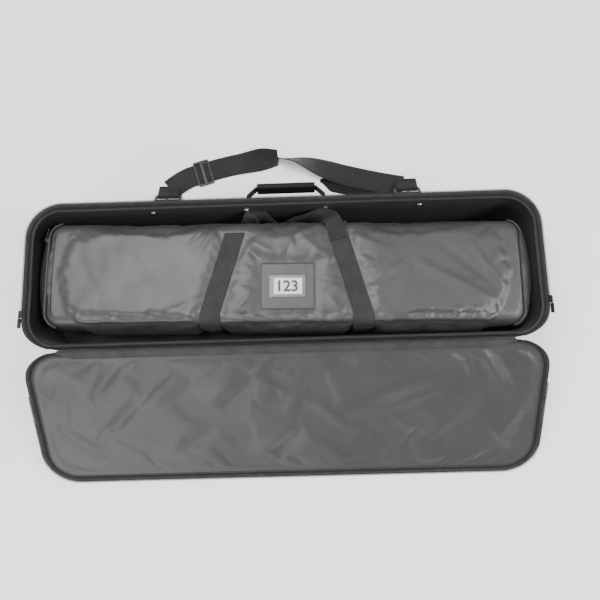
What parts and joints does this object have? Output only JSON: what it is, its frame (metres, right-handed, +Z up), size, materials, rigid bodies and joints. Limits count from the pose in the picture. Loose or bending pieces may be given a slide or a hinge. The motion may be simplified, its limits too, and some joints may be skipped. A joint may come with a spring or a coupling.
{
  "type": "telescope carry case",
  "caption": "Long padded zip case lying open, its flat padded lid folded down in front, with a soft padded inner bag, carry handle and shoulder strap.",
  "frame": {"origin": "middle of the tray's flat bottom, on the surface it lies on", "axes": "+X along the case, +Y from the lid's hinge towards the handle side, +Z up out of the open tray"},
  "size_m": [1.063, 0.7494, 0.1598],
  "materials": {
    "shell_fabric": "satin moulded fabric",
    "foam": "matte foam",
    "board": "matte",
    "wall_lining": "smooth brushed tricot",
    "lid_lining": "satin nylon weave",
    "binding_tape": "ribbed tape",
    "zip_tape": "woven tape",
    "zip_coil": "nylon coil",
    "black_plastic": "moulded satin",
    "handle_rubber": "matte",
    "rivet_steel": "bright",
    "zip_metal": "black plated",
    "strap_webbing": "woven webbing",
    "bag_webbing": "woven webbing",
    "bag_nylon": "coated nylon with a soft shine",
    "bag_lining": "matte",
    "bag_piping": "satin",
    "label_card": "printed card",
    "clear_window": "vinyl rim"
  },
  "bodies": {
    "tray": {"base_shell": "shell_fabric", "wall_foam": "foam", "base_board": "board", "floor_foam": "foam", "floor_lining": "wall_lining", "wall_lining": "wall_lining", "rim_binding": "binding_tape", "base_zip_tape": "zip_tape", "base_zip_coil": "zip_coil", "base_hinge_tape": "binding_tape", "handle_plates": "black_plastic", "handle_pins": "rivet_steel", "handle_rivets": "rivet_steel", "strap_rivets": "rivet_steel", "rivet_washers": "rivet_steel", "strap_tabs": "strap_webbing", "d_rings": "rivet_steel", "snap_hook_left": "black_plastic", "snap_hook_right": "black_plastic", "hook_swivel_left": "black_plastic", "hook_swivel_right": "black_plastic", "strap_webbing": "strap_webbing", "strap_folds": "strap_webbing", "strap_adjuster": "black_plastic"},
    "lid": {"lid_cover": "shell_fabric", "lid_board": "board", "lid_foam": "foam", "lid_lining": "lid_lining", "lid_binding": "binding_tape", "lid_zip_tape": "zip_tape", "lid_zip_coil": "zip_coil", "lid_hinge_tape": "binding_tape"},
    "bag": {"bag_cover": "bag_nylon", "bag_foam": "foam", "bag_lining": "bag_lining", "bag_piping_left": "bag_piping", "bag_piping_right": "bag_piping", "bag_zip_tape": "zip_tape", "bag_zip_coil": "zip_coil", "bag_webbing_left": "bag_webbing", "bag_webbing_right": "bag_webbing", "bag_handle": "bag_webbing", "id_patch": "bag_nylon", "id_card": "label_card", "id_window": "clear_window"},
    "handle": {"handle_core": "handle_rubber", "handle_grip": "black_plastic"},
    "slider_left": {"zip_slider_left": "zip_metal"},
    "slider_right": {"zip_slider_right": "zip_metal"},
    "pull_left": {"zip_pull_left": "zip_metal"},
    "pull_right": {"zip_pull_right": "zip_metal"},
    "gate_left": {"hook_gate_left": "rivet_steel"},
    "gate_right": {"hook_gate_right": "rivet_steel"},
    "bag_slider": {"bag_zip_slider": "zip_metal"},
    "bag_pull": {"bag_zip_pull": "zip_metal"}
  },
  "joints": [
    {"name": "lid_hinge", "type": "hinge", "parent": "tray", "child": "lid", "pos_m": [0, -0.1545, 0.1572], "axis": [1, 0, 0], "range_deg": [-209.03, 0]},
    {"name": "bag_lift", "type": "slide", "parent": "tray", "child": "bag", "axis": [0, 0, 1], "range_m": [0, 0.22]},
    {"name": "handle_swing", "type": "hinge", "parent": "tray", "child": "handle", "pos_m": [0.008, 0.1575, 0.112], "axis": [1, 0, 0], "range_deg": [-58, 72]},
    {"name": "zip_left_slide", "type": "slide", "parent": "tray", "child": "slider_left", "axis": [0, 1, 0], "range_m": [0, 0.135]},
    {"name": "zip_left_pull", "type": "hinge", "parent": "slider_left", "child": "pull_left", "pos_m": [-0.52874, -0.0745, 0.1527], "axis": [0.7071, 0, -0.7071], "range_deg": [0, 165]},
    {"name": "zip_right_slide", "type": "slide", "parent": "tray", "child": "slider_right", "axis": [0, 1, 0], "range_m": [0, 0.135]},
    {"name": "zip_right_pull", "type": "hinge", "parent": "slider_right", "child": "pull_right", "pos_m": [0.52874, -0.0745, 0.1527], "axis": [0.7071, 0, 0.7071], "range_deg": [0, 165]},
    {"name": "hook_left_gate", "type": "hinge", "parent": "tray", "child": "gate_left", "pos_m": [-0.2705, 0.18671, 0.04769], "axis": [1, 0, 0], "range_deg": [0, 25], "stiffness_Nm_per_rad": 0.02, "springref_deg": -17.19},
    {"name": "hook_right_gate", "type": "hinge", "parent": "tray", "child": "gate_right", "pos_m": [0.2865, 0.18671, 0.04769], "axis": [1, 0, 0], "range_deg": [0, 25], "stiffness_Nm_per_rad": 0.02, "springref_deg": -17.19},
    {"name": "bag_zip_slide", "type": "hinge", "parent": "bag", "child": "bag_slider", "pos_m": [-0.15485, 0.00151, 0.14111], "axis": [0, 0, 1], "range_deg": [0, 24]},
    {"name": "bag_zip_pull_swing", "type": "hinge", "parent": "bag_slider", "child": "bag_pull", "pos_m": [-0.48878, 0.08045, 0.14423], "axis": [0.6881, -0.1627, 0.7071], "range_deg": [0, 120]}
  ]
}
